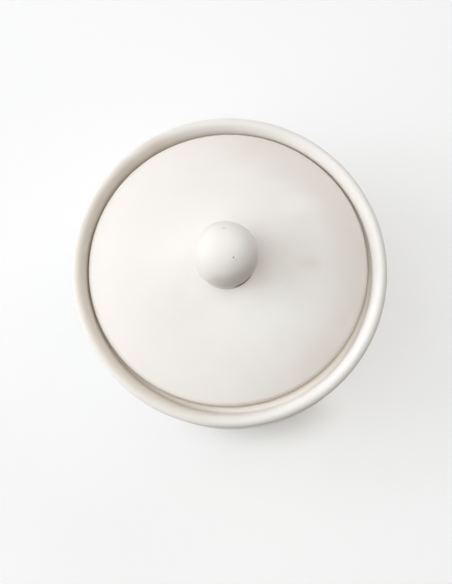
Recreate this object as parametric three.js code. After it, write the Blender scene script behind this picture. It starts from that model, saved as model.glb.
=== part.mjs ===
// A lidded stoneware jar, thrown on a wheel: the jar with its ledge and rounded lip, the domed lid that
// lies loose on that ledge, and the ball knob luted on the lid. Millimetres, +Z up. The jar's axis is Z
// and it stands on z = 0.

import * as THREE from "three";

// Driving dimensions of the jar
const jarHeight = 100; // floor to the crown of the lip
const bellyRadius = 77.2; // widest, just under the lip
const lipOuterRun = 3.8; // how far the lip's outer slope runs outwards from the crown
const lipOuterDrop = 11; // and how far it falls
const lipInnerRun = 3.8; // how far the lip's inner slope runs inwards
const lipInnerDrop = 6; // and how far it falls
const ledgeDepth = 8; // crown of the lip to the ledge
const ledgeThickness = 4;
const ledgeFillet = 1;
const ledgeWidth = 6.4; // from the foot of the lip's inner slope to the open mouth
const throatRound = 1;
const throatFlareDrop = 9; // height in which the ledge's underside runs out into the wall
const wall = 6;
const baseFlatRadius = 40; // where the floor begins to turn up into the wall
const bottomRoundness = 3; // exponent of the turned-in bottom: 2 is an ellipse, more is squarer
const floorThickness = 6;

// Driving dimensions of the foot ring
const footRadius = 58;
const footWidth = 7;
const footHeight = 3.5;
const footRound = 1;

// Driving dimensions of the lid
const lidGap = 2.5; // all round, between the lid's edge and the lip's foot
const lidSeatClearance = 0.3; // lid's underside above the ledge
const lidEdgeThickness = 4.4;
const lidDomeRise = 9.2; // lid's edge to the top of the dome
const lidUpperRound = 1.5;
const lidLowerRound = 1;
const lidSeatWidth = 6; // flat ring that lies on the ledge
const lidCrownThickness = 6;
const lidShiftXShare = -0.28; // where the loose lid lies in its gap, as shares of lidGap
const lidShiftYShare = 0.16;

// Driving dimensions of the knob
const knobRadius = 15.2;
const knobRise = 13.4; // centre of the ball above the lid
const knobNeckRound = 3; // hollow rounding between ball and lid
const knobFootEdge = 0.5; // thickness of the flare's edge where it meets the lid

// Fineness of the outlines and of the turning
const turnSegments = 60;
const knobTurnSegments = 36;
const roundSteps = 3; // steps in a small rounding
const slopeSteps = 6; // steps in each of the lip's slopes
const wallSteps = 13; // steps from the foot or the floor up to the belly
const flareSteps = 4; // steps in the ledge's underside
const domeSteps = 8;
const ballSteps = 12;
const samePoint = 0.01; // outline points closer than this are one point

const quarterTurn = Math.PI / 2;

// Heights and radii that follow from them
const ledgeZ = jarHeight - ledgeDepth;
const crownRadius = bellyRadius - lipOuterRun;
const bellyZ = jarHeight - lipOuterDrop;
const ledgeWallRadius = crownRadius - lipInnerRun;
const throatRadius = ledgeWallRadius - ledgeWidth; // the open mouth inside the ledge
const floorZ = footHeight + floorThickness;
const lidRadius = ledgeWallRadius - lidGap;
const lidBaseZ = ledgeZ + lidSeatClearance;
const lidEdgeZ = lidBaseZ + lidEdgeThickness;
const lidTopZ = lidEdgeZ + lidDomeRise;

// An outline is a list of points (radius, height). An arc runs from one angle to another, counted from
// the outward direction towards up, on a circle or an ellipse.
function arc(centreR, centreZ, radiusR, radiusZ, fromAngle, toAngle, steps) {
  const points = [];
  for (let i = 0; i <= steps; i += 1) {
    const angle = fromAngle + ((toAngle - fromAngle) * i) / steps;
    const r = centreR + radiusR * Math.cos(angle);
    const z = centreZ + radiusZ * Math.sin(angle);
    points.push(new THREE.Vector2(r, z));
  }
  return points;
}

// A hollow or a round corner of one radius
function round(centreR, centreZ, radius, fromAngle, toAngle, steps = roundSteps) {
  return arc(centreR, centreZ, radius, radius, fromAngle, toAngle, steps);
}

// The wall's curve, from a radius near the foot up to a height below the belly. Its centre lies at
// baseFlatRadius and bellyZ, reachR and reachZ are its half-widths.
function wallCurve(reachR, reachZ, fromRadius, toZ, steps) {
  const power = 2 / bottomRoundness;
  const start = Math.asin(((fromRadius - baseFlatRadius) / reachR) ** (1 / power));
  const end = Math.acos(((bellyZ - toZ) / reachZ) ** (1 / power));
  const points = [];
  for (let i = 0; i <= steps; i += 1) {
    const angle = start + ((end - start) * i) / steps;
    const r = baseFlatRadius + reachR * Math.sin(angle) ** power;
    const z = bellyZ - reachZ * Math.cos(angle) ** power;
    points.push(new THREE.Vector2(r, z));
  }
  return points;
}

// The ledge's underside: it runs out into the wall in a soft double curve
function throatFlare(fromZ, toZ, toRadius, steps) {
  const points = [];
  for (let i = 0; i <= steps; i += 1) {
    const share = i / steps;
    const ease = (1 - Math.cos(Math.PI * share)) / 2;
    const r = throatRadius + (toRadius - throatRadius) * ease;
    const z = fromZ + (toZ - fromZ) * share;
    points.push(new THREE.Vector2(r, z));
  }
  return points;
}

// Turns an outline, listed from the underside outwards and back to the axis, into a solid about Z
function turned(outline, segments) {
  const points = outline.filter(
    (point, i) => i === 0 || point.distanceTo(outline[i - 1]) > samePoint,
  );
  const geometry = new THREE.LatheGeometry(points, segments);
  geometry.rotateX(quarterTurn);
  return geometry;
}

function footOutline() {
  const inner = footRadius - footWidth;
  return [
    new THREE.Vector2(0, footHeight),
    ...round(inner - footRound, footHeight - footRound, footRound, quarterTurn, 0),
    ...round(inner + footRound, footRound, footRound, 2 * quarterTurn, 3 * quarterTurn),
    ...round(footRadius - footRound, footRound, footRound, -quarterTurn, 0),
  ];
}

function lipOutline() {
  return [
    ...arc(crownRadius, bellyZ, lipOuterRun, lipOuterDrop, 0, quarterTurn, slopeSteps),
    ...arc(
      crownRadius,
      jarHeight - lipInnerDrop,
      lipInnerRun,
      lipInnerDrop,
      quarterTurn,
      2 * quarterTurn,
      slopeSteps,
    ),
  ];
}

function ledgeOutline() {
  const wallR = ledgeWallRadius - ledgeFillet;
  return [
    ...round(wallR, ledgeZ + ledgeFillet, ledgeFillet, 0, -quarterTurn),
    ...round(
      throatRadius + throatRound,
      ledgeZ - throatRound,
      throatRound,
      quarterTurn,
      2 * quarterTurn,
    ),
  ];
}

function jarBody() {
  const reachR = bellyRadius - baseFlatRadius;
  const footShare = ((footRadius - baseFlatRadius) / reachR) ** bottomRoundness;
  const reachZ = (bellyZ - footHeight) / (1 - footShare) ** (1 / bottomRoundness);
  const flareTopZ = ledgeZ - ledgeThickness;
  const flareLowZ = flareTopZ - throatFlareDrop;
  const inside = wallCurve(
    reachR - wall,
    bellyZ - floorZ,
    baseFlatRadius,
    flareLowZ,
    wallSteps,
  ).reverse();
  const outline = [
    ...footOutline(),
    ...wallCurve(reachR, reachZ, footRadius, bellyZ, wallSteps),
    ...lipOutline(),
    ...ledgeOutline(),
    ...throatFlare(flareTopZ, flareLowZ, inside[0].x, flareSteps),
    ...inside,
    new THREE.Vector2(0, floorZ),
  ];
  return turned(outline, turnSegments);
}

// Height of the lid's dome at a radius: it falls as the square of the radius
function domeZ(r) {
  const share = r / lidRadius;
  return lidTopZ - lidDomeRise * share * share;
}

// Radius of the flare's foot, which is also the flat pad on top of the dome that the knob stands on
function knobFootRadius() {
  const reach = knobRadius + knobNeckRound;
  const drop = knobRise - knobNeckRound;
  return Math.sqrt(reach * reach - drop * drop);
}

function lid() {
  const padRadius = knobFootRadius();
  const hollowRadius = lidRadius - lidLowerRound - lidSeatWidth;
  const hollowTopZ = domeZ(padRadius) - lidCrownThickness;
  const outline = [];
  for (let i = 0; i <= domeSteps; i += 1) {
    const share = i / domeSteps;
    const z = hollowTopZ - (hollowTopZ - lidBaseZ) * share * share;
    outline.push(new THREE.Vector2(hollowRadius * share, z));
  }
  outline.push(
    ...round(
      lidRadius - lidLowerRound,
      lidBaseZ + lidLowerRound,
      lidLowerRound,
      -quarterTurn,
      0,
    ),
  );
  // The upper rounding ends where it meets the dome's slope
  const shoulderR = lidRadius - lidUpperRound;
  const slope = Math.atan((2 * lidDomeRise * shoulderR) / (lidRadius * lidRadius));
  const touchR = shoulderR + lidUpperRound * Math.sin(slope);
  const shoulderZ = domeZ(touchR) - lidUpperRound * Math.cos(slope);
  outline.push(...round(shoulderR, shoulderZ, lidUpperRound, 0, quarterTurn - slope));
  for (let i = 0; i <= domeSteps; i += 1) {
    const r = touchR + ((padRadius - touchR) * i) / domeSteps;
    outline.push(new THREE.Vector2(r, domeZ(r)));
  }
  outline.push(new THREE.Vector2(0, domeZ(padRadius)));
  return turned(outline, turnSegments);
}

function lidKnob() {
  const footR = knobFootRadius();
  const footZ = domeZ(footR);
  const ballZ = footZ + knobRise;
  // The hollow rounding touches the ball on the line between their centres
  const lean = Math.atan2(knobRise - knobNeckRound, footR);
  const footAngle = Math.acos(1 - knobFootEdge / knobNeckRound);
  const outline = [
    new THREE.Vector2(0, footZ),
    new THREE.Vector2(footR - knobNeckRound * Math.sin(footAngle), footZ),
    ...round(footR, footZ + knobNeckRound, knobNeckRound, 3 * quarterTurn - footAngle, Math.PI - lean),
    ...round(0, ballZ, knobRadius, -lean, quarterTurn, ballSteps),
  ];
  outline[outline.length - 1].x = 0;
  return turned(outline, knobTurnSegments);
}

const glaze = { color: 0xefe9e1, roughness: 0.55, metalness: 0 };

// A named sub-part with its own glaze
function piece(name, geometry) {
  const mesh = new THREE.Mesh(geometry, new THREE.MeshStandardMaterial(glaze));
  mesh.name = name;
  return mesh;
}

const jar = new THREE.Group();
jar.add(piece("jar_body", jarBody()));

const lidWithKnob = new THREE.Group();
lidWithKnob.position.set(lidShiftXShare * lidGap, lidShiftYShare * lidGap, 0);
lidWithKnob.add(piece("lid", lid()));
lidWithKnob.add(piece("lid_knob", lidKnob()));
jar.add(lidWithKnob);

export default jar;
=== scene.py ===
"""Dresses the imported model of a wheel-thrown stoneware jar: the jar, its domed lid and the ball knob.

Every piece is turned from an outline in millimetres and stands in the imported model's own frame, in metres,
with +Z up, the jar's axis on Z and the floor at z = 0.
"""

import logging
import math
from collections.abc import Callable, Mapping
from dataclasses import dataclass
from enum import Enum

import bmesh
import bpy
from mathutils import Matrix, Vector, noise


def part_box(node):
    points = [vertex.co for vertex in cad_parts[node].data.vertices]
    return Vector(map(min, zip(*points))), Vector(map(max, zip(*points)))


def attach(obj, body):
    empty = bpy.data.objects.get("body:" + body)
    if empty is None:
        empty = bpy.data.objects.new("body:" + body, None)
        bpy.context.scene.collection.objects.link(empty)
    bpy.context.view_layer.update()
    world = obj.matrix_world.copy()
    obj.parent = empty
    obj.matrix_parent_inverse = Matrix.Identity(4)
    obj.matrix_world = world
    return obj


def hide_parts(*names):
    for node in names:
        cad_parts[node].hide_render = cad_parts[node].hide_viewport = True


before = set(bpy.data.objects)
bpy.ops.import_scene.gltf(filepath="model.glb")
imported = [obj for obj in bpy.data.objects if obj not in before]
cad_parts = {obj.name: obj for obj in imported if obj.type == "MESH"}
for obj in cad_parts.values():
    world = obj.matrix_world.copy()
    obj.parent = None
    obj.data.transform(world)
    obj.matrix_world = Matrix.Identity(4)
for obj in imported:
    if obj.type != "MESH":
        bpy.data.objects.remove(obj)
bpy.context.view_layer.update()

LOG = logging.getLogger("jar")
MM = 0.001
FULL_TURN = 2 * math.pi
MIDDLE = 0.5  # of a noise or a wave that runs from 0 to 1
ROUNDING_STEPS = 4  # in a small rounding of an outline
SAME_PLACE = 0.001 * MM  # vertices closer than this are one

Triple = tuple[float, float, float]
Colour = Triple
Curve = Callable[[float], tuple[float, float]]  # radius and height at a share of it, from 0 to 1
Socket = bpy.types.NodeSocket
Fed = Socket | float | tuple[float, ...]


class Body(Enum):
    """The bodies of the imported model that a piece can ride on."""

    JAR = "jar"
    LID = "lid_assembly"


class Slot(Enum):
    """The record's material slots."""

    JAR_GLAZE = "jar_glaze"
    LID_GLAZE = "lid_glaze"


class Turning(Enum):
    """Which way the turning lines follow each other, as shares of height and of radius."""

    UP_THE_WALL = (1.0, 0.25)
    OUT_FROM_THE_AXIS = (0.1, 1.0)


# Node trees


class NodeSheet:
    """The nodes of one material, world or node group, added and linked in one call each."""

    def __init__(self, tree: bpy.types.NodeTree) -> None:
        """Starts on the node tree that is filled."""
        self.tree = tree

    @classmethod
    def of(cls, owner: bpy.types.Material | bpy.types.World) -> "NodeSheet":
        """Starts on the emptied nodes of a new material or world.

        Args:
            owner: the material or world.

        Returns:
            Its sheet.
        """
        owner.use_nodes = True
        owner.node_tree.nodes.clear()
        return cls(owner.node_tree)

    def add(
        self, kind: str, values: Mapping[str | int, Fed] | None = None, **settings: object
    ) -> bpy.types.Node:
        """Adds a node.

        Args:
            kind: the type of node, without its "ShaderNode" prefix.
            values: what its inputs get, by name or number: a value or another node's output.
            settings: the node's own settings.

        Returns:
            The new node.
        """
        node = self.tree.nodes.new("ShaderNode" + kind)
        for name, value in settings.items():
            setattr(node, name, value)
        for key, value in (values or {}).items():
            self.feed(node.inputs[key], value)
        return node

    def feed(self, target: Socket, value: Fed) -> None:
        """Links an output to an input, or sets the input's own value.

        Args:
            target: the input.
            value: an output socket, a number or a tuple of numbers.
        """
        if isinstance(value, bpy.types.NodeSocket):
            self.tree.links.new(value, target)
        else:
            target.default_value = value

    def calc(self, operation: str, *values: Fed, clamp: bool = False) -> Socket:
        """Does a sum.

        Args:
            operation: the Math node's operation.
            values: its inputs in order.
            clamp: whether the result is kept from 0 to 1.

        Returns:
            The result.
        """
        node = self.add("Math", dict(enumerate(values)), operation=operation, use_clamp=clamp)
        return node.outputs[0]

    def ramp(self, value: Fed, low: Fed, high: Fed, to_low: float = 0.0, to_high: float = 1.0) -> Socket:
        """Takes a value from one range smoothly to another, held at both ends.

        Args:
            value: the value.
            low: where the range starts.
            high: where it ends.
            to_low: the result at the start.
            to_high: the result at the end.

        Returns:
            The result.
        """
        limits = {"From Min": low, "From Max": high, "To Min": to_low, "To Max": to_high}
        node = self.add("MapRange", {"Value": value, **limits}, interpolation_type="SMOOTHSTEP")
        return node.outputs[0]

    def fade(self, value: Fed, low: Fed, high: Fed) -> Socket:
        """1 up to the low end of a range, and smoothly down to 0 at its high end."""
        return self.ramp(value, low, high, to_low=1.0, to_high=0.0)

    def blend(self, share: Fed, first: Fed, second: Fed) -> Socket:
        """Mixes two colours; the share is how much of the second."""
        return self.add("Mix", {0: share, 6: first, 7: second}, data_type="RGBA").outputs[2]

    def mix(self, share: Fed, first: Fed, second: Fed) -> Socket:
        """Mixes two numbers; the share is how much of the second."""
        return self.add("Mix", {0: share, 2: first, 3: second}, data_type="FLOAT").outputs[0]

    def vector(self, operation: str, first: Fed, second: Fed = (0.0, 0.0, 0.0)) -> bpy.types.Node:
        """Does a sum with places or sizes; its first output is a vector, and Value a number."""
        return self.add("VectorMath", {0: first, 1: second}, operation=operation)

    def unevenness(
        self, place: Socket, waves: Fed, layers: float, roughness: float = 0.5, distortion: float = 0.0
    ) -> Socket:
        """A soft noise.

        Args:
            place: where it is read.
            waves: how many waves it has in a metre.
            layers: how many finer layers lie in it.
            roughness: how strong each finer layer is, as a share of the one before.
            distortion: how far it is swirled.

        Returns:
            The noise, from 0 to 1.
        """
        finer = {"Detail": layers, "Roughness": roughness, "Distortion": distortion}
        return self.add("TexNoise", {"Vector": place, "Scale": waves, **finer}).outputs[0]


class EffectSheet(NodeSheet):
    """The nodes of one shared effect, which reads a place and puts out masks or heights."""

    def __init__(self, name: str, inputs: Mapping[str, float | None], *outputs: str) -> None:
        """Makes an empty group with its sockets, the place among them.

        Args:
            name: the group's name.
            inputs: the other inputs and their defaults; None makes a vector.
            outputs: the outputs, all plain values.
        """
        super().__init__(bpy.data.node_groups.new(name, "ShaderNodeTree"))
        sockets = self.tree.interface
        for label, value in {"Place": None, **inputs}.items():
            kind = "NodeSocketVector" if value is None else "NodeSocketFloat"
            socket = sockets.new_socket(name=label, in_out="INPUT", socket_type=kind)
            if value is not None:
                socket.default_value = value
        for label in outputs:
            sockets.new_socket(name=label, in_out="OUTPUT", socket_type="NodeSocketFloat")
        self.given = self.tree.nodes.new("NodeGroupInput").outputs
        self.result = self.tree.nodes.new("NodeGroupOutput").inputs
        self.place = self.given["Place"]

    def radius_and_height(self) -> tuple[Socket, Socket]:
        """Distance of the place from the piece's axis, and its height.

        Returns:
            Both, in metres.
        """
        x, y, z = self.add("SeparateXYZ", {0: self.place}).outputs
        squares = self.calc("MULTIPLY_ADD", y, y, self.calc("MULTIPLY", x, x))
        return self.calc("SQRT", squares), z

    def azimuth(self) -> Socket:
        """Direction of the place from the piece's axis, in radians, 0 being +X."""
        x, y, _ = self.add("SeparateXYZ", {0: self.place}).outputs
        return self.calc("ARCTAN2", y, x)

    def waver(self, waves: float, layers: float, size: Fed) -> Socket:
        """A shift that wanders to both sides of 0.

        Args:
            waves: how many waves it has in a metre.
            layers: how many finer layers lie in it.
            size: how wide it is.

        Returns:
            The shift.
        """
        centred = self.calc("SUBTRACT", self.unevenness(self.place, waves, layers), MIDDLE)
        return self.calc("MULTIPLY", centred, size)


class SharedEffects:
    """The effects that more than one finish uses, each a node group that is built once."""

    def __init__(self) -> None:
        """Builds all groups."""
        self.clouds = self._clouds()
        self.skin = self._skin()
        self.turning = self._turning()
        self.ring = self._ring()
        self.band = self._band()
        self.spot = self._spot()
        self.painted_side = self._painted_side()

    def _clouds(self) -> bpy.types.NodeTree:
        """Soft clouds of thicker and thinner glaze.

        Returns:
            The group, with the output Cloud from 0 to 1.
        """
        sheet = EffectSheet("glaze clouds", {"Size": 0.03, "Contrast": 1.0}, "Cloud")
        waves = sheet.calc("DIVIDE", 1.0, sheet.given["Size"])
        clouds = sheet.unevenness(sheet.place, waves, layers=3.0, distortion=0.6)
        centred = sheet.calc("SUBTRACT", clouds, MIDDLE)
        spread = sheet.calc("MULTIPLY_ADD", centred, sheet.given["Contrast"], MIDDLE, clamp=True)
        sheet.feed(sheet.result["Cloud"], spread)
        return sheet.tree

    def _skin(self) -> bpy.types.NodeTree:
        """The skin of a satin glaze: a fine orange peel, and pores where bubbles broke.

        Returns:
            The group, with the output Height.
        """
        pore_core, pore_edge = 0.02, 0.05  # radii of a pore, as shares of the spacing
        inputs = {"Peel Size": 0.0015, "Pore Spacing": 0.006, "Pore Share": 0.3}
        sheet = EffectSheet("glaze skin", inputs, "Height")
        waves = sheet.calc("DIVIDE", 1.0, sheet.given["Peel Size"])
        peel = sheet.unevenness(sheet.place, waves, layers=2.0, roughness=0.55)
        cells_per_metre = sheet.calc("DIVIDE", 1.0, sheet.given["Pore Spacing"])
        cells = sheet.add("TexVoronoi", {"Vector": sheet.place, "Scale": cells_per_metre, "Randomness": 1.0})
        pit = sheet.fade(cells.outputs["Distance"], pore_core, pore_edge)
        chance = sheet.add("SeparateColor", {0: cells.outputs["Color"]}).outputs[0]
        kept = sheet.calc("LESS_THAN", chance, sheet.given["Pore Share"])
        pores = sheet.calc("MULTIPLY", pit, kept)
        sheet.feed(sheet.result["Height"], sheet.calc("SUBTRACT", peel, pores))
        return sheet.tree

    def _turning(self) -> bpy.types.NodeTree:
        """The spiral lines that fingers and ribs leave in turned clay, faint in places.

        Returns:
            The group, with the output Height from 0 to 1.
        """
        faintest = 0.25
        inputs = {"Pitch": 0.004, "Upwards": 1.0, "Outwards": 0.0, "Waver": 0.001}
        sheet = EffectSheet("turning lines", inputs, "Height")
        given = sheet.given
        radius, height = sheet.radius_and_height()
        turn = sheet.calc("MULTIPLY", sheet.calc("DIVIDE", sheet.azimuth(), FULL_TURN), given["Pitch"])
        drift = sheet.unevenness(sheet.place, waves=28.0, layers=1.0)
        travel = sheet.calc("MULTIPLY_ADD", drift, given["Waver"], turn)
        travel = sheet.calc("MULTIPLY_ADD", height, given["Upwards"], travel)
        travel = sheet.calc("MULTIPLY_ADD", radius, given["Outwards"], travel)
        phase = sheet.calc("MULTIPLY", sheet.calc("DIVIDE", travel, given["Pitch"]), FULL_TURN)
        wave = sheet.calc("MULTIPLY_ADD", sheet.calc("SINE", phase), MIDDLE, MIDDLE)
        patches = sheet.unevenness(sheet.place, waves=45.0, layers=1.0)
        strength = sheet.ramp(patches, low=0.35, high=0.65, to_low=faintest)
        sheet.feed(sheet.result["Height"], sheet.calc("MULTIPLY", wave, strength))
        return sheet.tree

    def _ring(self) -> bpy.types.NodeTree:
        """A soft ring about the axis, such as an edge where glaze runs thin.

        Returns:
            The group, with the output Mask, 1 on the ring.
        """
        sheet = EffectSheet("edge ring", {"Radius": 0.05, "Height": 0.05, "Reach": 0.002}, "Mask")
        radius, height = sheet.radius_and_height()
        out = sheet.calc("SUBTRACT", radius, sheet.given["Radius"])
        up = sheet.calc("SUBTRACT", height, sheet.given["Height"])
        distance = sheet.calc("SQRT", sheet.calc("MULTIPLY_ADD", up, up, sheet.calc("MULTIPLY", out, out)))
        spread = sheet.calc("ADD", sheet.unevenness(sheet.place, waves=120.0, layers=2.0), MIDDLE)
        reach = sheet.calc("MULTIPLY", sheet.given["Reach"], spread)
        sheet.feed(sheet.result["Mask"], sheet.fade(distance, 0.0, reach))
        return sheet.tree

    def _band(self) -> bpy.types.NodeTree:
        """A wiped band between two radii and two heights, with a slightly wandering edge.

        Returns:
            The group, with the outputs Mask, 1 inside the band, and Line, 1 along its edge.
        """
        line_widths = 2.5  # width of the line, as a multiple of the edge
        limits = {"Inner Radius": 0.05, "Outer Radius": 0.06, "Low": 0.0, "High": 0.01}
        sheet = EffectSheet("wiped band", {**limits, "Waver": 0.0006, "Edge": 0.0003}, "Mask", "Line")
        given = sheet.given
        shift = sheet.waver(waves=90.0, layers=3.0, size=given["Waver"])
        radius, height = (sheet.calc("ADD", way, shift) for way in sheet.radius_and_height())
        depth = sheet.calc("SUBTRACT", radius, given["Inner Radius"])
        for more, less in ((given["Outer Radius"], radius), (height, given["Low"]), (given["High"], height)):
            depth = sheet.calc("MINIMUM", depth, sheet.calc("SUBTRACT", more, less))
        sheet.feed(sheet.result["Mask"], sheet.ramp(depth, 0.0, given["Edge"]))
        line_width = sheet.calc("MULTIPLY", given["Edge"], line_widths)
        sheet.feed(sheet.result["Line"], sheet.fade(sheet.calc("ABSOLUTE", depth), 0.0, line_width))
        return sheet.tree

    def _spot(self) -> bpy.types.NodeTree:
        """A single oval spot, from a pinhole to a broad soft patch.

        Returns:
            The group, with the output Mask, 1 in the spot's core and 0 outside it.
        """
        inputs = {"Centre": None, "Reach": None, "Core": 0.35, "Waver": 0.0}
        sheet = EffectSheet("glaze spot", inputs, "Mask")
        away = sheet.vector("SUBTRACT", sheet.place, sheet.given["Centre"]).outputs[0]
        shares = sheet.vector("DIVIDE", away, sheet.given["Reach"]).outputs[0]
        distance = sheet.vector("LENGTH", shares).outputs["Value"]
        shift = sheet.waver(waves=75.0, layers=2.0, size=sheet.given["Waver"])
        wavered = sheet.calc("ADD", distance, shift)
        sheet.feed(sheet.result["Mask"], sheet.fade(wavered, sheet.given["Core"], 1.0))
        return sheet.tree

    def _painted_side(self) -> bpy.types.NodeTree:
        """One side of a piece with painted light or shade, growing outwards and upwards.

        Returns:
            The group, with the output Mask.
        """
        core = 0.45  # share of the spread that is full
        fade_width = 3.0 * MM  # from full to gone at the gone radius
        radii = {"Inner Radius": 0.04, "Outer Radius": 0.07, "Gone Radius": 0.08}
        inputs = {"Azimuth": 0.0, "Spread": 1.5, **radii, "Low": 0.0, "High": 0.01}
        sheet = EffectSheet("painted side light and shade", inputs, "Mask")
        given = sheet.given
        radius, height = sheet.radius_and_height()
        turned = sheet.calc("SUBTRACT", sheet.azimuth(), given["Azimuth"])
        away = sheet.calc("ABSOLUTE", sheet.calc("WRAP", turned, math.pi, -math.pi))
        wavered = sheet.calc("ADD", away, sheet.waver(waves=30.0, layers=2.0, size=0.9))
        side = sheet.fade(wavered, sheet.calc("MULTIPLY", given["Spread"], core), given["Spread"])
        outwards = sheet.ramp(radius, given["Inner Radius"], given["Outer Radius"])
        last = given["Gone Radius"]
        staying = sheet.fade(radius, sheet.calc("SUBTRACT", last, fade_width), last)
        upwards = sheet.ramp(height, given["Low"], given["High"])
        zone = sheet.calc("MULTIPLY", sheet.calc("MULTIPLY", outwards, staying), upwards)
        sheet.feed(sheet.result["Mask"], sheet.calc("MULTIPLY", side, zone))
        return sheet.tree


# Finishes


def opaque(colour: Colour) -> tuple[float, float, float, float]:
    """A colour with full opacity, as a colour input takes it."""
    return (*colour, 1.0)


def scaled(parts: tuple[float, ...], factor: float) -> tuple[float, ...]:
    """A colour, a place or sizes, each part times a factor."""
    return tuple(factor * part for part in parts)


def in_metres(lengths: Mapping[str, float]) -> dict[str, float]:
    """Lengths in millimetres, as a node group takes them."""
    return {name: length * MM for name, length in lengths.items()}


@dataclass(frozen=True)
class ThinGlazeAndShadeEdge:
    """A warm ring along an edge: thin glaze that the clay warms at some edges, painted shade at others.

    Sizes in millimetres: radius and height of the edge's ring, and how far the warmth reaches from it.
    """

    radius: float
    height: float
    reach: float

    def inputs(self) -> dict[str, float]:
        """What its node group gets."""
        return in_metres({"Radius": self.radius, "Height": self.height, "Reach": self.reach})


@dataclass(frozen=True)
class BareBand:
    """A band wiped free of glaze before firing, in millimetres."""

    inner: float
    outer: float
    low: float
    high: float

    def inputs(self) -> dict[str, float]:
        """What its node group gets."""
        radii = {"Inner Radius": self.inner, "Outer Radius": self.outer}
        return in_metres({**radii, "Low": self.low, "High": self.high})


@dataclass(frozen=True)
class Pinhole:
    """A small hole in the glaze: its place and how far it reaches, in millimetres, and how dark it is."""

    place: Triple
    reach: Triple
    darkness: float


@dataclass(frozen=True)
class PaintedLightPatch:
    """A soft patch of painted light or shade: place and reach in millimetres, colour and strength."""

    place: Triple
    reach: Triple
    colour: Colour
    strength: float


@dataclass(frozen=True)
class PaintedSide:
    """A side with painted light or shade.

    Azimuth and spread in degrees, azimuth 0 being +X; the colour grows from the inner to the outer radius and
    from the low to the high level, downwards where the low one is above the high one, and it is gone beyond
    the last radius, all in millimetres. Left as it is, that radius is outside every piece, and the levels
    start it under the lid's edge.
    """

    azimuth: float
    spread: float
    inner: float
    outer: float
    colour: Colour
    strength: float
    low: float = 90.0
    high: float = 93.0
    gone: float = 90.0

    def inputs(self) -> dict[str, float]:
        """What its node group gets."""
        angles = {"Azimuth": math.radians(self.azimuth), "Spread": math.radians(self.spread)}
        radii = {"Inner Radius": self.inner, "Outer Radius": self.outer, "Gone Radius": self.gone}
        return {**angles, **in_metres({**radii, "Low": self.low, "High": self.high})}


@dataclass(frozen=True)
class SatinGlaze:
    """Off-white satin glaze on pale stoneware, with bare clay where it was wiped off, and light and shade
    painted in places.

    Colours are linear, sizes and the place of the piece's axis in millimetres, and shares and strengths from
    0 to 1.
    """

    name: str
    pale: Colour = (0.900, 0.869, 0.846)
    warm: Colour = (0.872, 0.830, 0.790)
    # The warm edge colour, for thin glaze at some edges and painted shade at others
    thin: Colour = (0.780, 0.715, 0.625)
    thin_strength: float = 0.5
    roughness: float = 0.56
    roughness_swing: float = 0.08
    cloud_size: float = 34.0
    cloud_contrast: float = 1.6
    small_cloud_size: float = 6.8
    small_cloud_contrast: float = 1.2
    small_cloud_share: float = 0.35
    peel_size: float = 1.3
    peel_depth: float = 0.018
    line_pitch: float = 3.2
    line_depth: float = 0.02
    turning: Turning = Turning.UP_THE_WALL
    clay: Colour = (0.735, 0.665, 0.565)
    clay_roughness: float = 0.88
    clay_drop: float = 0.12
    sand_light: float = 0.86
    sand_size: float = 1.1
    sand_contrast: float = 2.2
    grain_size: float = 0.45
    grain_depth: float = 0.05
    grain_pore_spacing: float = 1.6
    grain_pore_share: float = 0.5
    toast_light: float = 0.8
    toast_strength: float = 0.35
    hole: Colour = (0.30, 0.25, 0.20)
    hole_depth: float = 0.12
    hole_core: float = 0.35
    patch_waver: float = 0.5
    axis: tuple[float, float] = (0.0, 0.0)
    edges: tuple[ThinGlazeAndShadeEdge, ...] = ()
    bare: tuple[BareBand, ...] = ()
    holes: tuple[Pinhole, ...] = ()
    patches: tuple[PaintedLightPatch, ...] = ()
    painted_sides: tuple[PaintedSide, ...] = ()


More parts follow.
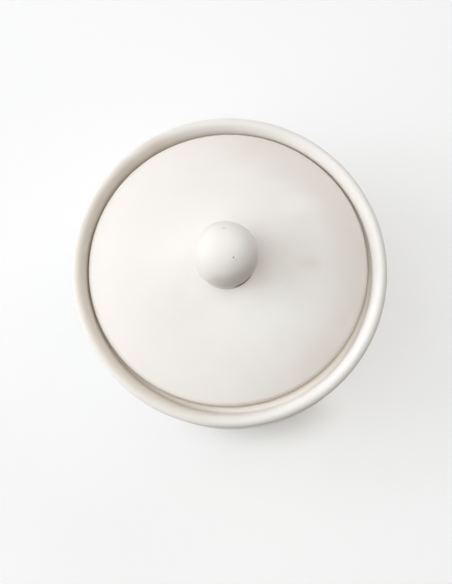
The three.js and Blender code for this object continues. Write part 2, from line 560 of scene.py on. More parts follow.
class GlazeCoat:
    """A satin glaze as it is laid on, coat by coat: its nodes, and colour, roughness and height so far."""

    colour: Socket
    roughness: Socket
    height: Socket

    def __init__(self, glaze: SatinGlaze, effects: SharedEffects) -> None:
        """Starts a material, counting places from the piece's own axis.

        Args:
            glaze: the glaze.
            effects: the shared node groups.
        """
        self.glaze = glaze
        self.effects = effects
        self.material = bpy.data.materials.new(glaze.name)
        self.sheet = NodeSheet.of(self.material)
        coordinates = self.sheet.add("TexCoord").outputs["Object"]
        to_axis = (-glaze.axis[0] * MM, -glaze.axis[1] * MM, 0.0)
        self.place = self.sheet.add("Mapping", {"Vector": coordinates, "Location": to_axis}).outputs[0]

    def fired(self) -> bpy.types.Material:
        """Lays all coats.

        Returns:
            The finished material.
        """
        self._cloudy_glaze()
        self._painted_light()
        self._relief()
        if self.glaze.bare:
            self._wiped_clay()
        self._pinholes()
        bump = self.sheet.add("Bump", {"Height": self.height, "Strength": 1.0, "Distance": MM}).outputs[0]
        inputs = {"Base Color": self.colour, "Roughness": self.roughness, "Normal": bump}
        shader = self.sheet.add("BsdfPrincipled", inputs).outputs[0]
        self.sheet.add("OutputMaterial", {"Surface": shader})
        return self.material

    def _effect(self, tree: bpy.types.NodeTree, inputs: Mapping[str, Fed]) -> Mapping[str, Socket]:
        """Places a shared effect.

        Args:
            tree: its node group.
            inputs: what it gets besides the place.

        Returns:
            Its outputs.
        """
        return self.sheet.add("Group", {"Place": self.place, **inputs}, node_tree=tree).outputs

    def _clouds(self, size: float, contrast: float) -> Socket:
        """Clouds of a size in millimetres and a contrast."""
        return self._effect(self.effects.clouds, {"Size": size * MM, "Contrast": contrast})["Cloud"]

    def _spot(self, centre: Triple, reach: Triple, core: float, waver: float) -> Socket:
        """The mask of one oval spot.

        Args:
            centre: the spot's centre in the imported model's frame, in millimetres.
            reach: how far it reaches along each axis, in millimetres.
            core: the share of it that is full.
            waver: how far its edge wanders, as a share of its size.

        Returns:
            The mask.
        """
        from_axis = (centre[0] - self.glaze.axis[0], centre[1] - self.glaze.axis[1], centre[2])
        places = {"Centre": scaled(from_axis, MM), "Reach": scaled(reach, MM)}
        return self._effect(self.effects.spot, {**places, "Core": core, "Waver": waver})["Mask"]

    def _tint(self, mask: Socket, strength: float, colour: Colour) -> None:
        """Blends a colour in.

        Args:
            mask: where it goes.
            strength: how much of it goes there, from 0 to 1.
            colour: the colour.
        """
        share = self.sheet.calc("MULTIPLY", mask, strength)
        self.colour = self.sheet.blend(share, self.colour, opaque(colour))

    def _cloudy_glaze(self) -> None:
        """Cloudy glaze, a little rougher where it is warmer, and warm along edges: thin glaze at some,
        painted shade at others.
        """
        glaze, sheet = self.glaze, self.sheet
        broad = self._clouds(glaze.cloud_size, glaze.cloud_contrast)
        small = self._clouds(glaze.small_cloud_size, glaze.small_cloud_contrast)
        cloud = sheet.calc("MULTIPLY", broad, 1.0 - glaze.small_cloud_share)
        cloud = sheet.calc("MULTIPLY_ADD", small, glaze.small_cloud_share, cloud)
        self.colour = sheet.blend(cloud, opaque(glaze.pale), opaque(glaze.warm))
        least = glaze.roughness - glaze.roughness_swing / 2
        self.roughness = sheet.calc("MULTIPLY_ADD", cloud, glaze.roughness_swing, least)
        for edge in glaze.edges:
            ring = self._effect(self.effects.ring, edge.inputs())["Mask"]
            self._tint(ring, glaze.thin_strength, glaze.thin)

    def _painted_light(self) -> None:
        """Sides and patches of painted light and shade."""
        for painted_side in self.glaze.painted_sides:
            side = self._effect(self.effects.painted_side, painted_side.inputs())["Mask"]
            self._tint(side, painted_side.strength, painted_side.colour)
        for patch in self.glaze.patches:
            spot = self._spot(patch.place, patch.reach, core=0.0, waver=self.glaze.patch_waver)
            self._tint(spot, patch.strength, patch.colour)

    def _relief(self) -> None:
        """Orange peel, pores and turning lines, as a height in millimetres."""
        glaze, sheet = self.glaze, self.sheet
        skin = self._effect(self.effects.skin, {"Peel Size": glaze.peel_size * MM})["Height"]
        upwards, outwards = glaze.turning.value
        ways = {"Pitch": glaze.line_pitch * MM, "Upwards": upwards, "Outwards": outwards}
        lines = self._effect(self.effects.turning, ways)["Height"]
        peel = sheet.calc("MULTIPLY", skin, glaze.peel_depth)
        self.height = sheet.calc("MULTIPLY_ADD", lines, glaze.line_depth, peel)

    def _wiped_clay(self) -> None:
        """Bare clay in the wiped bands, a toasted line where the glaze ends, and the clay's grain."""
        glaze, sheet = self.glaze, self.sheet
        pores = {"Pore Spacing": glaze.grain_pore_spacing * MM, "Pore Share": glaze.grain_pore_share}
        grain = self._effect(self.effects.skin, {"Peel Size": glaze.grain_size * MM, **pores})["Height"]
        level = sheet.calc("MULTIPLY_ADD", grain, glaze.grain_depth, -glaze.clay_drop)
        sand = self._clouds(glaze.sand_size, glaze.sand_contrast)
        clay = sheet.blend(sand, opaque(glaze.clay), opaque(scaled(glaze.clay, glaze.sand_light)))
        for band in glaze.bare:
            wiped = self._effect(self.effects.band, band.inputs())
            self._tint(wiped["Line"], glaze.toast_strength, scaled(glaze.thin, glaze.toast_light))
            self.colour = sheet.blend(wiped["Mask"], self.colour, clay)
            self.roughness = sheet.mix(wiped["Mask"], self.roughness, glaze.clay_roughness)
            self.height = sheet.mix(wiped["Mask"], self.height, level)

    def _pinholes(self) -> None:
        """The pinholes that are known one by one."""
        for hole in self.glaze.holes:
            pit = self._spot(hole.place, hole.reach, core=self.glaze.hole_core, waver=0.0)
            self._tint(pit, hole.darkness, self.glaze.hole)
            self.height = self.sheet.calc("MULTIPLY_ADD", pit, -self.glaze.hole_depth, self.height)


# Turned shapes


@dataclass(frozen=True)
class HandThrown:
    """How far a thrown piece is from perfectly round and level.

    Lengths in millimetres, the long axis in radians, ovality and the lift as shares. Ovality and drift only
    take size away. Drift fades out towards the axis, and its lift also towards the foot. The lean moves the
    upper part sideways, by its full amount at the lean height.
    """

    ovality: float = 0.0
    long_axis: float = 0.0
    drift: float = 0.12
    drift_size: float = 38.0
    seed: float = 0.0
    axis_fade: float = 10.0
    lift_share: float = 0.25
    lift_seed: float = 7.3
    foot_fade: float = 20.0
    lean: tuple[float, float] = (0.0, 0.0)
    lean_height: float = 100.0

    def moved(self, place: Vector, axis: Vector) -> Vector:
        """Where a point of the perfect shape ends up.

        Args:
            place: the point, in metres.
            axis: a point on the piece's axis.

        Returns:
            The point's new place.
        """
        out = place - axis
        radius = math.hypot(out.x, out.y)
        angle = math.atan2(out.y, out.x)
        squeeze = 1.0 - self.ovality * (1.0 - math.cos(2.0 * (angle - self.long_axis)))
        sample = Vector((out.x, out.y, place.z)) / (self.drift_size * MM) + Vector((self.seed, 0.0, 0.0))
        loss = self.drift * MM * (1.0 - noise.noise(sample)) / 2
        fade = min(1.0, radius / (self.axis_fade * MM))
        scale = squeeze * (1.0 - fade * loss / max(radius, MM))
        rise = min(1.0, place.z / (self.foot_fade * MM))
        sinking = noise.noise(sample + Vector((0.0, self.lift_seed, 0.0))) - 1.0
        lift = self.lift_share * self.drift * MM * fade * rise * sinking
        lean = (place.z / (self.lean_height * MM)) ** 2 * MM
        x = axis.x + out.x * scale + self.lean[0] * lean
        y = axis.y + out.y * scale + self.lean[1] * lean
        return Vector((x, y, place.z + lift))


def arc(radius: float, height: float, reach: float, rise: float, start: float, end: float) -> Curve:
    """A round or oval arc in an outline.

    Args:
        radius: how far its centre is from the axis, in millimetres.
        height: its centre's height.
        reach: its half-width.
        rise: its half-height.
        start: where it starts, in degrees, 0 being outwards and 90 up.
        end: where it ends.

    Returns:
        Radius and height at a share of the arc.
    """

    def along(share: float) -> tuple[float, float]:
        """Radius and height at a share of the arc."""
        angle = math.radians(start + (end - start) * share)
        return radius + reach * math.cos(angle), height + rise * math.sin(angle)

    return along


class Outline:
    """Half of a turned piece's cross-section, in millimetres.

    It runs from the axis underneath outwards and back to the axis.
    """

    def __init__(self) -> None:
        """Starts an empty outline of radius, height and rounding."""
        self.points: list[Triple] = []

    def corner(self, radius: float, height: float, rounding: float = 0.0) -> "Outline":
        """Adds a corner.

        Args:
            radius: its distance from the axis.
            height: its height.
            rounding: how far the rounding reaches along both sides, 0 for none.

        Returns:
            The outline itself.
        """
        self.points.append((radius, height, rounding))
        return self

    def curve(self, along: Curve, steps: int, skip_first: bool = False) -> "Outline":
        """Adds a slow curve.

        Args:
            along: radius and height at a share of the curve, from 0 to 1.
            steps: how many steps it has.
            skip_first: leaves out the first point, where the outline already is.

        Returns:
            The outline itself.
        """
        for i in range(1 if skip_first else 0, steps + 1):
            self.corner(*along(i / steps))
        return self

    def turned(self, axis: Vector, turns: int) -> bmesh.types.BMesh:
        """Turns the outline about an upright axis into a closed shape.

        Args:
            axis: a point on the axis, in metres.
            turns: how many steps a full turn has.

        Returns:
            The shape, which the caller frees.
        """
        shape = bmesh.new()
        wire = [shape.verts.new((axis.x + r * MM, axis.y, z * MM)) for r, z, _ in self.points]
        for first, second in zip(wire, wire[1:]):
            shape.edges.new((first, second))
        for vertex, (_, _, rounding) in zip(wire, self.points):
            if rounding > 0.0:
                bmesh.ops.bevel(
                    shape,
                    geom=[vertex],
                    offset=rounding * MM,
                    offset_type="OFFSET",
                    affect="VERTICES",
                    segments=ROUNDING_STEPS,
                    profile=0.5,
                    material=-1,
                )
        bmesh.ops.spin(
            shape,
            geom=shape.verts[:] + shape.edges[:],
            cent=axis,
            axis=(0.0, 0.0, 1.0),
            dvec=(0.0, 0.0, 0.0),
            angle=FULL_TURN,
            steps=turns,
            use_merge=True,
        )
        bmesh.ops.remove_doubles(shape, verts=shape.verts[:], dist=SAME_PLACE)
        bmesh.ops.recalc_face_normals(shape, faces=shape.faces[:])
        return shape


@dataclass
class TurnedPiece:
    """A piece turned about an upright axis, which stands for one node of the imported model."""

    name: str
    node: str
    body: Body
    slot: Slot
    hand: HandThrown
    turns: int

    def axis(self) -> Vector:
        """The piece's axis, taken from the box of the node that it stands for."""
        low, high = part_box(self.node)
        return Vector(((low.x + high.x) / 2, (low.y + high.y) / 2, 0.0))

    def outline(self) -> Outline:
        """The piece's outline; each piece has its own."""
        raise NotImplementedError

    def finish(self) -> SatinGlaze:
        """The piece's finish; each piece has its own."""
        raise NotImplementedError

    def build(self, effects: SharedEffects) -> bpy.types.Object:
        """Turns the piece, makes it a little uneven, smooths and glazes it.

        Args:
            effects: the shared node groups.

        Returns:
            The finished object, riding on its body.
        """
        axis = self.axis()
        shape = self.outline().turned(axis, self.turns)
        for vertex in shape.verts:
            vertex.co = self.hand.moved(vertex.co, axis)
        mesh = bpy.data.meshes.new(self.name)
        shape.to_mesh(mesh)
        shape.free()
        mesh.shade_smooth()
        mesh.materials.append(GlazeCoat(self.finish(), effects).fired())
        piece = bpy.data.objects.new(self.name, mesh)
        bpy.context.scene.collection.objects.link(piece)
        smooth = piece.modifiers.new("smooth clay", "SUBSURF")
        smooth.levels = 1
        smooth.render_levels = 1
        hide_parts(self.node)
        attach(piece, self.body.value)
        return piece


@dataclass
class JarBody(TurnedPiece):
    """The thrown jar with its foot ring, wall, ledge for the lid and rounded lip.

    Sizes in millimetres. The lip's outer edge is a roll, which turns under by an angle in degrees. A
    squareness of 2 makes the turned-in bottom an oval, and more makes it squarer. A ring of corners keeps
    the floor flat, and another the underside.
    """

    name: str = "thrown_jar"
    node: str = "jar_body"
    body: Body = Body.JAR
    slot: Slot = Slot.JAR_GLAZE
    hand: HandThrown = HandThrown(ovality=0.0078, long_axis=2.12, drift=0.14, lean=(-0.1, -0.95))
    turns: int = 180
    height: float = 100.0
    crown: float = 73.7
    roll: float = 2.8
    roll_under: float = 40.0
    waist_radius: float = 75.4
    waist_height: float = 92.8
    waist_round: float = 1.6
    belly_radius: float = 76.0
    belly_height: float = 88.0
    lip_foot: float = 69.6
    lip_inner_drop: float = 6.6
    ledge_height: float = 92.0
    ledge_thickness: float = 4.0
    ledge_fillet: float = 1.9
    throat_radius: float = 63.2
    throat_round: float = 1.0
    throat_flare_drop: float = 9.0
    wall: float = 6.0
    flat_radius: float = 40.0
    squareness: float = 3.0
    floor_height: float = 9.5
    floor_ring: float = 20.0
    foot_radius: float = 58.0
    foot_width: float = 7.0
    foot_height: float = 3.5
    foot_round: float = 1.0
    underside_ring: float = 12.0
    # The wiped ledge reaches out past the lid's edge, where it shows as a painted shade line in the gap
    bare_ledge_and_gap_shade_radius: float = 67.2

    @property
    def foot_inner(self) -> float:
        """Inner radius of the foot ring."""
        return self.foot_radius - self.foot_width

    def wall_curve(self, reach: float, fall: float, start_radius: float, end_height: float) -> Curve:
        """The wall, from near the foot up towards the belly.

        Args:
            reach: how far the curve reaches out from the flat part of the floor.
            fall: how far it falls below the belly.
            start_radius: the radius where it begins.
            end_height: the height where it ends.

        Returns:
            Radius and height at a share of the curve.
        """
        power = 2.0 / self.squareness
        start = math.asin(((start_radius - self.flat_radius) / reach) ** (1.0 / power))
        end = math.acos(((self.belly_height - end_height) / fall) ** (1.0 / power))

        def along(share: float) -> tuple[float, float]:
            """The wall, from near the foot upwards.

            Args:
                share: how far along it.

            Returns:
                Radius and height there.
            """
            angle = start + (end - start) * share
            radius = self.flat_radius + reach * math.sin(angle) ** power
            return radius, self.belly_height - fall * max(0.0, math.cos(angle)) ** power

        return along

    def outline(self) -> Outline:
        """Foot, outside, lip, ledge and inside.

        Returns:
            The outline.
        """
        reach = self.belly_radius - self.flat_radius
        foot_share = ((self.foot_radius - self.flat_radius) / reach) ** self.squareness
        fall = (self.belly_height - self.foot_height) / (1.0 - foot_share) ** (1.0 / self.squareness)
        flare_top = self.ledge_height - self.ledge_thickness
        flare_low = flare_top - self.throat_flare_drop
        depth = self.belly_height - self.floor_height
        inside = self.wall_curve(reach - self.wall, depth, self.flat_radius, flare_low)
        flare_radius = inside(1.0)[0]

        def flare(share: float) -> tuple[float, float]:
            """The ledge's underside, which runs out into the wall.

            Args:
                share: how far along it.

            Returns:
                Radius and height there.
            """
            ease = (1.0 - math.cos(math.pi * share)) / 2
            radius = self.throat_radius + (flare_radius - self.throat_radius) * ease
            return radius, flare_top + (flare_low - flare_top) * share

        outline = Outline()
        outline.corner(0.0, self.foot_height)
        outline.corner(self.foot_inner - self.underside_ring, self.foot_height)
        outline.corner(self.foot_inner, self.foot_height, self.foot_round)
        outline.corner(self.foot_inner, 0.0, self.foot_round)
        outline.corner(self.foot_radius, 0.0, self.foot_round)
        outline.curve(self.wall_curve(reach, fall, self.foot_radius, self.belly_height), steps=30)
        outline.corner(self.waist_radius, self.waist_height, self.waist_round)
        roll_height = self.height - self.roll
        outline.curve(arc(self.crown, roll_height, self.roll, self.roll, -self.roll_under, 90.0), steps=12)
        run, drop = self.crown - self.lip_foot, self.lip_inner_drop
        slope = arc(self.crown, self.height - drop, run, drop, 90.0, 180.0)
        outline.curve(slope, steps=10, skip_first=True)
        outline.corner(self.lip_foot, self.ledge_height, self.ledge_fillet)
        outline.corner(self.throat_radius, self.ledge_height, self.throat_round)
        outline.curve(flare, steps=8)
        outline.curve(lambda share: inside(1.0 - share), steps=28, skip_first=True)
        outline.corner(self.floor_ring, self.floor_height).corner(0.0, self.floor_height)
        return outline

    def finish(self) -> SatinGlaze:
        """Satin glaze, bare on the foot ring and on the ledge.

        The lip has painted shade on the left, along its near right edge and at the far left, and a painted
        highlight on its right crest. Painted shade darkens the corner of the ledge, and the bare ledge
        reaches out past the lid's edge as a painted shade line.

        Returns:
            The finish.
        """
        edges = (
            # Painted shade in the corner where the lip's inner slope meets the ledge; the other rings are
            # thin glaze
            ThinGlazeAndShadeEdge(radius=self.lip_foot, height=self.ledge_height + 1.0, reach=0.8),
            ThinGlazeAndShadeEdge(radius=self.crown + self.roll, height=self.height - self.roll, reach=1.6),
            ThinGlazeAndShadeEdge(radius=self.throat_radius + 0.4, height=self.ledge_height - 0.4, reach=1.6),
            ThinGlazeAndShadeEdge(radius=self.foot_radius, height=self.foot_height, reach=2.4),
        )
        inner, low, high = self.throat_radius - 1.0, self.ledge_height - 0.8, self.ledge_height + 0.7
        bare = (
            BareBand(inner=self.foot_inner - 0.6, outer=self.foot_radius + 0.8, low=-1.0, high=1.3),
            # Wiped clay under the lid, reaching out past the lid's edge as a painted shade line in the gap
            BareBand(inner=inner, outer=self.bare_ledge_and_gap_shade_radius, low=low, high=high),
        )
        holes = (
            Pinhole(place=(22.7, 66.9, 97.5), reach=(0.7, 0.6, 1.2), darkness=0.7),
            Pinhole(place=(-2.7, -76.1, 98.0), reach=(1.3, 0.8, 1.4), darkness=0.4),
            Pinhole(place=(-46.0, 56.0, 98.0), reach=(1.0, 1.2, 1.6), darkness=0.3),
        )
        painted_sides = (
            # Painted shade in the gap on the left, where the ledge lies in the lip's shade
            PaintedSide(188.0, spread=98.0, inner=66.0, outer=69.0, colour=(0.780, 0.715, 0.635), strength=0.85,
                  low=88.0, high=92.5, gone=75.8),
            # Painted shade along the lip's outer edge at the near right
            PaintedSide(290.0, spread=66.0, inner=76.1, outer=77.0, colour=(0.58, 0.53, 0.45), strength=0.60),
            # Painted highlight on the lip's right crest
            PaintedSide(0.0, spread=80.0, inner=70.0, outer=72.0, colour=(0.965, 0.950, 0.935), strength=0.55,
                  low=93.0, high=95.0),
        )
        patches = (
            # Painted shade on the lip's inner slope at the far left, in these three patches
            PaintedLightPatch((-38.0, 62.0, 98.5), (15.0, 9.0, 7.0), colour=(0.720, 0.635, 0.565), strength=0.75),
            PaintedLightPatch((-52.0, 50.0, 98.0), (9.0, 12.0, 7.0), colour=(0.720, 0.640, 0.580), strength=0.60),
            PaintedLightPatch((-64.0, 34.0, 97.0), (7.0, 10.0, 6.0), colour=(0.740, 0.670, 0.610), strength=0.40),
        )
        return SatinGlaze("jar glaze", edges=edges, bare=bare, holes=holes, painted_sides=painted_sides, patches=patches)


@dataclass
class Lid(TurnedPiece):
    """The domed lid, hollowed underneath, with the flat ring that lies on the ledge. Sizes in millimetres."""

    name: str = "thrown_lid"
    node: str = "lid"
    body: Body = Body.LID
    slot: Slot = Slot.LID_GLAZE
    hand: HandThrown = HandThrown(ovality=0.001, drift=0.1, seed=4.0)
    turns: int = 160
    radius: float = 67.3
    base: float = 92.3
    edge_thickness: float = 4.4
    edge_flat: float = 3.0
    dome_rise: float = 9.2
    upper_round: float = 1.4
    lower_round: float = 1.0
    seat_width: float = 6.0
    crown_thickness: float = 6.0
    pad_radius: float = 14.94

    @property
    def hollow_radius(self) -> float:
        """Radius of the hollow underneath."""
        return self.radius - self.lower_round - self.seat_width

    def dome_height(self, radius: float) -> float:
        """Height of the dome at a radius: it falls as the square of the radius."""
        share = radius / self.radius
        return self.base + self.edge_thickness + self.dome_rise * (1.0 - share * share)

    def outline(self) -> Outline:
        """Hollow, seat, edge and dome.

        Returns:
            The outline.
        """
        hollow_top = self.dome_height(self.pad_radius) - self.crown_thickness

        def hollow(share: float) -> tuple[float, float]:
            """The hollow under the lid."""
            return self.hollow_radius * share, hollow_top - (hollow_top - self.base) * share * share

        def dome(share: float) -> tuple[float, float]:
            """The dome, from near the edge to the knob's pad.

            Args:
                share: how far along it.

            Returns:
                Radius and height there.
            """
            start = self.radius - self.edge_flat
            radius = start + (self.pad_radius - start) * share
            return radius, self.dome_height(radius)

        outline = Outline()
        outline.curve(hollow, steps=14)
        outline.corner(self.radius, self.base, self.lower_round)
        outline.corner(self.radius, self.dome_height(self.radius), self.upper_round)
        outline.curve(dome, steps=14)
        outline.corner(0.0, self.dome_height(self.pad_radius))
        return outline

    def finish(self) -> SatinGlaze:
        """Satin glaze, bare on the ring that lies on the ledge.

        It has painted shade towards the right and a little on the near side, a painted shadow in the join
        under the knob, painted light in the middle where the knob's shadow falls, a painted highlight and a
        painted shadow beside the knob, and two patches of painted shade on the right.

        Returns:
            The finish.
        """
        axis = self.axis() / MM
        edges = (ThinGlazeAndShadeEdge(radius=self.radius - 0.5, height=self.base + self.edge_thickness, reach=2.2),)
        inner, outer = self.hollow_radius - 1.0, self.radius + 1.0
        bare = (BareBand(inner=inner, outer=outer, low=self.base - 1.0, high=self.base + 1.2),)
        painted_sides = (
            # Painted shade on the right of the dome, which turns away from the lamps
            PaintedSide(18.0, spread=112.0, inner=42.0, outer=68.0, colour=(0.735, 0.670, 0.615), strength=0.75),
            # Painted shade along the lid's near edge
            PaintedSide(285.0, spread=80.0, inner=56.0, outer=68.0, colour=(0.735, 0.665, 0.620), strength=0.20),
            # Painted shadow in the join under the knob
            PaintedSide(322.0, spread=46.0, inner=10.0, outer=11.0, colour=(0.24, 0.20, 0.16), strength=0.85,
                  gone=16.2),
        )
        patches = (
            # Painted light in the middle of the lid, lifting the knob's shadow, in these two patches
            PaintedLightPatch((16.0, -16.0, 104.0), (56.0, 54.0, 30.0), colour=(0.965, 0.948, 0.936), strength=0.80),
            PaintedLightPatch((5.0, -3.0, 105.0), (27.0, 25.0, 9.0), colour=(0.985, 0.972, 0.960), strength=0.95),
            # Painted highlight to the right of the knob
            PaintedLightPatch((34.4, 28.8, 101.8), (17.0, 9.0, 8.0), colour=(0.955, 0.930, 0.915), strength=0.55),
            # Painted shadow of the knob, to its right
            PaintedLightPatch((39.0, 0.0, 102.8), (10.0, 6.0, 6.0), colour=(0.860, 0.790, 0.750), strength=0.60),
            # Painted shade in these two patches on the right of the lid
            PaintedLightPatch((29.0, 46.0, 100.0), (20.0, 9.0, 8.0), colour=(0.790, 0.745, 0.715), strength=0.45),
            PaintedLightPatch((40.0, -48.0, 98.0), (16.0, 10.0, 8.0), colour=(0.790, 0.745, 0.715), strength=0.25),
        )
        return SatinGlaze(
            "lid glaze",
            line_depth=0.008,
            turning=Turning.OUT_FROM_THE_AXIS,
            axis=(axis.x, axis.y),
            edges=edges,
            bare=bare,
            patches=patches,
            painted_sides=painted_sides,
        )


@dataclass
class Knob(TurnedPiece):
    """The ball knob on its short flared neck. Sizes in millimetres, the foot's angle in degrees.

    A fullness of 2 makes the ball's upper half round, and more makes it squarer.
    """

    name: str = "ball_knob"
    node: str = "lid_knob"
    body: Body = Body.LID
    slot: Slot = Slot.LID_GLAZE
    hand: HandThrown = HandThrown(ovality=0.004, long_axis=0.3, drift=0.15, drift_size=14.0, seed=9.0)
    turns: int = 96
    ball_radius: float = 15.2
    ball_rise: float = 13.4
    neck_round: float = 2.7
    foot_angle: float = 4.0
    underside_ring_share: float = 0.6
    fullness: float = 2.3

    @property
    def base(self) -> float:
        """Height of the knob's underside."""
        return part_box(self.node)[0].z / MM

    def outline(self) -> Outline:
        """Foot, hollow neck and ball.

        Returns:
            The outline.
        """
        centre = self.base + self.ball_rise
        drop = self.ball_rise - self.neck_round
        foot = math.sqrt((self.ball_radius + self.neck_round) ** 2 - drop * drop)
        lean = math.atan2(drop, foot)
        power = 2.0 / self.fullness

        def ball(share: float) -> tuple[float, float]:
            """The ball, from the neck to the top.

            Args:
                share: how far along it.

            Returns:
                Radius and height there.
            """
            angle = -lean + (math.pi / 2 + lean) * share
            across, above = max(0.0, math.cos(angle)), math.sin(angle)
            if above > 0.0:
                across, above = across**power, above**power
            return self.ball_radius * across, centre + self.ball_radius * above

        start, end = 270.0 - self.foot_angle, 180.0 - math.degrees(lean)
        neck = arc(foot, self.base + self.neck_round, self.neck_round, self.neck_round, start, end)
        outline = Outline()
        outline.corner(0.0, self.base).corner(foot * self.underside_ring_share, self.base)
        outline.curve(neck, steps=8)
        outline.curve(ball, steps=26, skip_first=True)
        # The last point lies exactly on the axis, which closes the top
        outline.points[-1] = (0.0, centre + self.ball_radius, 0.0)
        return outline

    def finish(self) -> SatinGlaze:
        """Satin glaze, with painted shade at the near right, at the left and round the neck, a painted shadow
        in the join, and a painted highlight on top.

        Returns:
            The finish.
        """
        axis = self.axis() / MM
        # Painted shade round the neck, where the ball meets the lid
        edges = (ThinGlazeAndShadeEdge(radius=self.ball_radius - 2.0, height=self.base + 1.6, reach=5.0),)
        holes = (
            Pinhole(place=(-0.96, 9.3, 131.3), reach=(1.6, 0.65, 1.2), darkness=0.35),
            Pinhole(place=(3.4, -4.4, 133.0), reach=(0.55, 0.55, 1.0), darkness=0.8),
            Pinhole(place=(4.5, -5.6, 132.6), reach=(0.4, 0.4, 1.0), darkness=0.4),
        )
        painted_sides = (
            # Painted shade on the ball's near right side, away from the lamps
            PaintedSide(294.0, spread=74.0, inner=10.6, outer=15.6, colour=(0.62, 0.57, 0.50), strength=0.78),
            # Painted shade on the ball's left edge
            PaintedSide(165.0, spread=95.0, inner=8.0, outer=14.4, colour=(0.80, 0.77, 0.74), strength=0.60),
            # Painted shadow in the join under the ball
            PaintedSide(322.0, spread=50.0, inner=11.4, outer=12.4, colour=(0.20, 0.17, 0.13), strength=0.90,
                  low=108.4, high=107.0),
        )
        patches = (
            # Painted highlight on the top of the knob
            PaintedLightPatch((6.5, 3.0, 131.0), (12.5, 14.5, 14.0), colour=(0.968, 0.950, 0.932), strength=0.90),
        )
        return SatinGlaze(
            "knob glaze",
            peel_size=1.0,
            line_pitch=2.2,
            line_depth=0.006,
            axis=(axis.x, axis.y),
            edges=edges,
            holes=holes,
            patches=patches,
            painted_sides=painted_sides,
        )


# Camera and studio


@dataclass(frozen=True)
class CameraView:
    """The photograph's view: nearly overhead, leaning a little towards the near side.

    Angles in degrees, lengths in millimetres, pixels of a picture of 452 by 584, clipping in metres.
    """

    width: int = 452
    height: int = 584
    focal_pixels: float = 942.0
    lean: float = 11.83
    turn: float = 10.71
    distance: float = 449.4
    aim_height: float = 100.0
    aim_pixel: tuple[float, float] = (228.56, 264.94)
    sensor: float = 36.0
    clip_start: float = 0.01
    clip_end: float = 50.0

    def place(self) -> bpy.types.Object:
        """Sets up the camera and makes it the scene's.

        Returns:
            The camera.
        """
        lean, turn = math.radians(self.lean), math.radians(self.turn)
        back = Vector((math.sin(lean) * math.sin(turn), -math.sin(lean) * math.cos(turn), math.cos(lean)))
        right = Vector((back.z, 0.0, -back.x)).normalized()
        up = back.cross(right)
        across = (self.aim_pixel[0] - self.width / 2) / self.focal_pixels * self.distance
        above = -(self.aim_pixel[1] - self.height / 2) / self.focal_pixels * self.distance
        aim = Vector((0.0, 0.0, self.aim_height))
        centre = (aim - across * right - above * up + self.distance * back) * MM
        data = bpy.data.cameras.new("overhead camera")
        data.sensor_width = self.sensor
        # The sensor's width spans the picture's longer side, its height
        data.lens = self.focal_pixels / self.height * self.sensor
        data.clip_start = self.clip_start
        data.clip_end = self.clip_end
        camera = bpy.data.objects.new("overhead_camera", data)
        turned = Matrix((right, up, back)).transposed().to_4x4()
        camera.matrix_world = Matrix.Translation(centre) @ turned
        bpy.context.scene.collection.objects.link(camera)
        bpy.context.scene.camera = camera
        return camera


@dataclass(frozen=True)
class SoftLamp:
    """A soft square lamp that looks at the jar.

    Azimuth and elevation in degrees say where it stands, azimuth 0 being +X, lengths are in metres; level is
    the brightness that it alone gives a white surface facing it.
    """

    name: str
    azimuth: float
    elevation: float
    level: float
    colour: Colour
    distance: float = 1.6
    size: float = 0.78
    aim_height: float = 0.06

    def place(self) -> bpy.types.Object:
        """Sets up the lamp.

        Returns:
            The lamp.
        """
        azimuth, elevation = math.radians(self.azimuth), math.radians(self.elevation)
        flat = math.cos(elevation)
        towards = Vector((flat * math.cos(azimuth), flat * math.sin(azimuth), math.sin(elevation)))
        data = bpy.data.lights.new(self.name, "AREA")
        data.shape = "SQUARE"
        data.size = self.size
        # The brightness that it gives is its power / (pi * distance)**2
        data.energy = self.level * (math.pi * self.distance) ** 2
        data.color = self.colour
        lamp = bpy.data.objects.new(self.name, data)
        turned = towards.to_track_quat("Z", "Y").to_matrix().to_4x4()
        centre = towards * self.distance + Vector((0.0, 0.0, self.aim_height))
        lamp.matrix_world = Matrix.Translation(centre) @ turned
        bpy.context.scene.collection.objects.link(lamp)
        return lamp


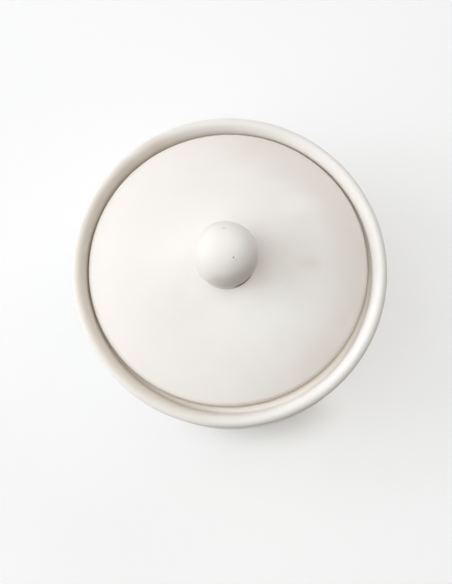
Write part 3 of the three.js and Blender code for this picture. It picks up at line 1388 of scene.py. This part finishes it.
@dataclass(frozen=True)
class Studio:
    """A pale floor in soft daylight that comes mostly from the left.

    The camera sees the floor lifted towards white: least in the core of the jar's shadow, and wholly far from
    the jar. Core and its reach in millimetres, fades of the core as shares of that reach, others in metres.
    """

    lamps: tuple[SoftLamp, ...] = (
        SoftLamp("roof_window", azimuth=0.0, elevation=72.0, level=0.141, colour=(1.0, 0.89, 0.73)),
        SoftLamp("left_window_low", azimuth=180.0, elevation=20.0, level=0.220, colour=(1.0, 0.97, 0.94)),
        SoftLamp("left_window_high", azimuth=180.0, elevation=42.0, level=0.285, colour=(0.80, 0.90, 1.0)),
        SoftLamp("far_left_window", azimuth=148.0, elevation=34.0, level=0.116, colour=(1.0, 0.91, 0.93)),
        SoftLamp("far_left_roof", azimuth=135.0, elevation=64.0, level=0.121, colour=(0.88, 0.96, 1.0)),
        SoftLamp("near_left_window", azimuth=205.0, elevation=30.0, level=0.109, colour=(1.0, 0.90, 0.92)),
        SoftLamp("near_left_roof", azimuth=225.0, elevation=64.0, level=0.202, colour=(0.96, 1.0, 0.91)),
        SoftLamp("far_right_wall", azimuth=45.0, elevation=40.0, level=0.180, colour=(1.0, 0.98, 1.0)),
        SoftLamp("far_wall", azimuth=90.0, elevation=18.0, level=0.095, colour=(0.95, 1.0, 1.0)),
    )
    ambient: float = 0.08
    ambient_colour: Colour = (1.0, 0.99, 0.98)
    white: Colour = (1.0, 1.0, 1.0)
    floor_size: float = 8.0
    floor_colour: Colour = (0.930, 0.935, 0.935)
    floor_dimming: float = 0.988
    floor_roughness: float = 0.85
    floor_gloss: float = 0.2
    floor_lift: float = 0.53
    core: tuple[float, float] = (14.0, -64.0)
    core_reach: tuple[float, float] = (48.0, 21.0)
    core_fade: tuple[float, float] = (0.3, 1.1)
    core_lift: float = 0.04
    white_fade: tuple[float, float] = (0.35, 1.1)

    def build(self) -> None:
        """Sets up lamps, world and floor."""
        for lamp in self.lamps:
            lamp.place()
        self._world()
        self._floor()

    def _world(self) -> None:
        """Soft light from all round, and white where the world itself is seen."""
        world = bpy.data.worlds.new("pale room")
        sheet = NodeSheet.of(world)
        path = sheet.add("LightPath").outputs
        seen = sheet.calc("MAXIMUM", path["Is Camera Ray"], path["Is Glossy Ray"])
        seen = sheet.calc("MAXIMUM", seen, path["Is Transmission Ray"])
        light = sheet.add("Background", {"Color": opaque(self.ambient_colour), "Strength": self.ambient})
        white = sheet.add("Background", {"Color": opaque(self.white), "Strength": 1.0})
        mixed = sheet.add("MixShader", {0: seen, 1: light.outputs[0], 2: white.outputs[0]})
        sheet.add("OutputWorld", {"Surface": mixed.outputs[0]})
        bpy.context.scene.world = world

    def _floor(self) -> None:
        """A plain floor, which isn't part of the object."""
        shape = bmesh.new()
        bmesh.ops.create_grid(shape, x_segments=1, y_segments=1, size=self.floor_size / 2)
        mesh = bpy.data.meshes.new("floor")
        shape.to_mesh(mesh)
        shape.free()
        mesh.materials.append(self._floor_material())
        floor = bpy.data.objects.new("floor", mesh)
        bpy.context.scene.collection.objects.link(floor)

    def _floor_material(self) -> bpy.types.Material:
        """A pale floor that glows towards white where the camera sees it, which lightens the jar's shadow
        except in its core, and turns wholly white far away from it.

        Returns:
            The material.
        """
        material = bpy.data.materials.new("pale floor")
        sheet = NodeSheet.of(material)
        place = sheet.add("TexCoord").outputs["Object"]
        tone = sheet.unevenness(place, waves=14.0, layers=2.0)
        dim = scaled(self.floor_colour, self.floor_dimming)
        colour = sheet.blend(tone, opaque(self.floor_colour), opaque(dim))
        inputs = {"Roughness": self.floor_roughness, "Specular IOR Level": self.floor_gloss}
        pale = sheet.add("BsdfPrincipled", {"Base Color": colour, **inputs})
        # The floor's glow, which lifts the jar's shadow towards white
        white = sheet.add("Emission", {"Color": opaque(self.white), "Strength": 1.0})
        away = sheet.vector("SUBTRACT", place, scaled((*self.core, 0.0), MM)).outputs[0]
        shares = sheet.vector("DIVIDE", away, (*scaled(self.core_reach, MM), 1.0)).outputs[0]
        from_core = sheet.vector("LENGTH", shares).outputs["Value"]
        near = sheet.ramp(from_core, *self.core_fade, to_low=self.core_lift, to_high=self.floor_lift)
        far = sheet.ramp(sheet.vector("LENGTH", place).outputs["Value"], *self.white_fade)
        seen = sheet.add("LightPath").outputs["Is Camera Ray"]
        share = sheet.calc("MULTIPLY", sheet.calc("MAXIMUM", near, far), seen)
        mixed = sheet.add("MixShader", {0: share, 1: pale.outputs[0], 2: white.outputs[0]})
        sheet.add("OutputMaterial", {"Surface": mixed.outputs[0]})
        return material


def main() -> None:
    """Builds camera, studio, jar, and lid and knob."""
    logging.basicConfig(level=logging.INFO, format="%(name)s: %(message)s")
    bpy.context.scene.view_settings.view_transform = "Standard"
    CameraView().place()
    Studio().build()
    effects = SharedEffects()
    for piece in (JarBody(), Lid(), Knob()):
        built = piece.build(effects)
        faces = len(built.data.polygons)
        LOG.info("%s on %s: %d faces before smoothing", built.name, piece.body.value, faces)


if __name__ == "__main__":
    main()
